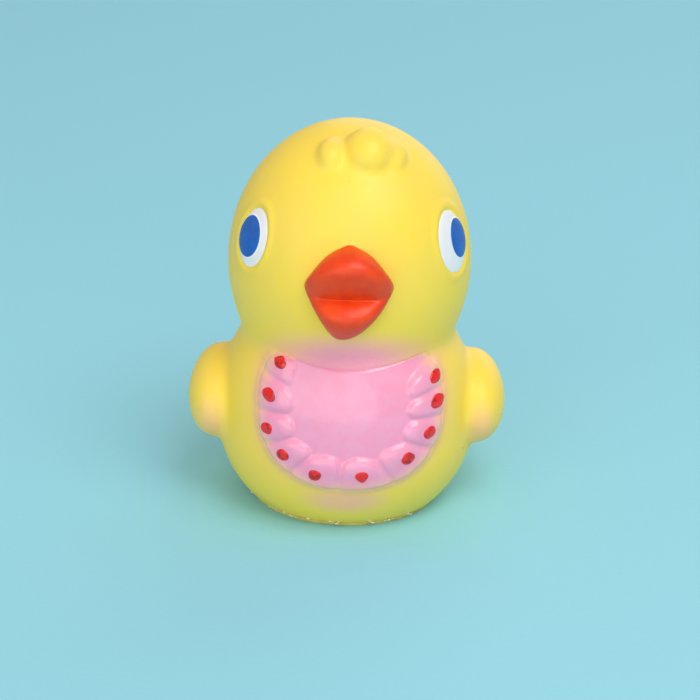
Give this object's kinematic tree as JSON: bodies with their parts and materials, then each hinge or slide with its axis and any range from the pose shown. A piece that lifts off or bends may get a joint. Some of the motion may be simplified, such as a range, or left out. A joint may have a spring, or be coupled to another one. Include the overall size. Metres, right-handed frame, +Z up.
{
  "type": "rubber squeeze chick",
  "caption": "Squat hollow rubber chick squeeze toy with painted eyes and beak, a scalloped bib with red dots, and a squeaker in its glued base.",
  "frame": {"origin": "middle of the box round the toy, on the table it stands on", "axes": "+Z up, the face and bib towards -Y, the toy's left side towards +X"},
  "size_m": [0.0674, 0.0634, 0.0837],
  "materials": {
    "yellow_rubber": "satin natural rubber, dip-coloured yellow",
    "base_rubber": "matt natural rubber sheet",
    "white_polythene": "moulded polythene",
    "reed_film": "thin polyester film",
    "orange_paint": "glossy orange rubber paint",
    "white_paint": "glossy white paint",
    "blue_paint": "glossy blue paint",
    "pink_paint": "glossy pink rubber paint",
    "red_paint": "thick glossy red paint"
  },
  "bodies": {
    "toy": {"body_shell": "yellow_rubber", "base_sheet": "base_rubber", "squeaker_cup": "white_polythene", "reed_plate": "white_polythene", "reed_clamp": "white_polythene", "bib": "pink_paint", "bib_dot_01": "red_paint", "bib_dot_02": "red_paint", "bib_dot_03": "red_paint", "bib_dot_04": "red_paint", "bib_dot_05": "red_paint", "bib_dot_06": "red_paint", "bib_dot_07": "red_paint", "bib_dot_08": "red_paint", "bib_dot_09": "red_paint", "bib_dot_10": "red_paint"},
    "face": {"beak": "orange_paint", "eye_white_left": "white_paint", "eye_white_right": "white_paint", "iris_left": "blue_paint", "iris_right": "blue_paint"},
    "tongue": {"reed": "reed_film"}
  },
  "joints": [
    {"name": "squeeze", "type": "slide", "parent": "toy", "child": "face", "axis": [0, 0, -1], "range_m": [0, 0.008], "stiffness_N_per_m": 1900, "deforming": ["body_shell", "bib", "bib_dot_01", "bib_dot_02", "bib_dot_03", "bib_dot_04", "bib_dot_05", "bib_dot_06", "bib_dot_07", "bib_dot_08", "bib_dot_09", "bib_dot_10"]},
    {"name": "reed_flex", "type": "hinge", "parent": "toy", "child": "tongue", "pos_m": [-0.0024, -0.00022, 0.00335], "axis": [0, -1, 0], "range_deg": [-3, 6], "stiffness_Nm_per_rad": 0.002}
  ]
}
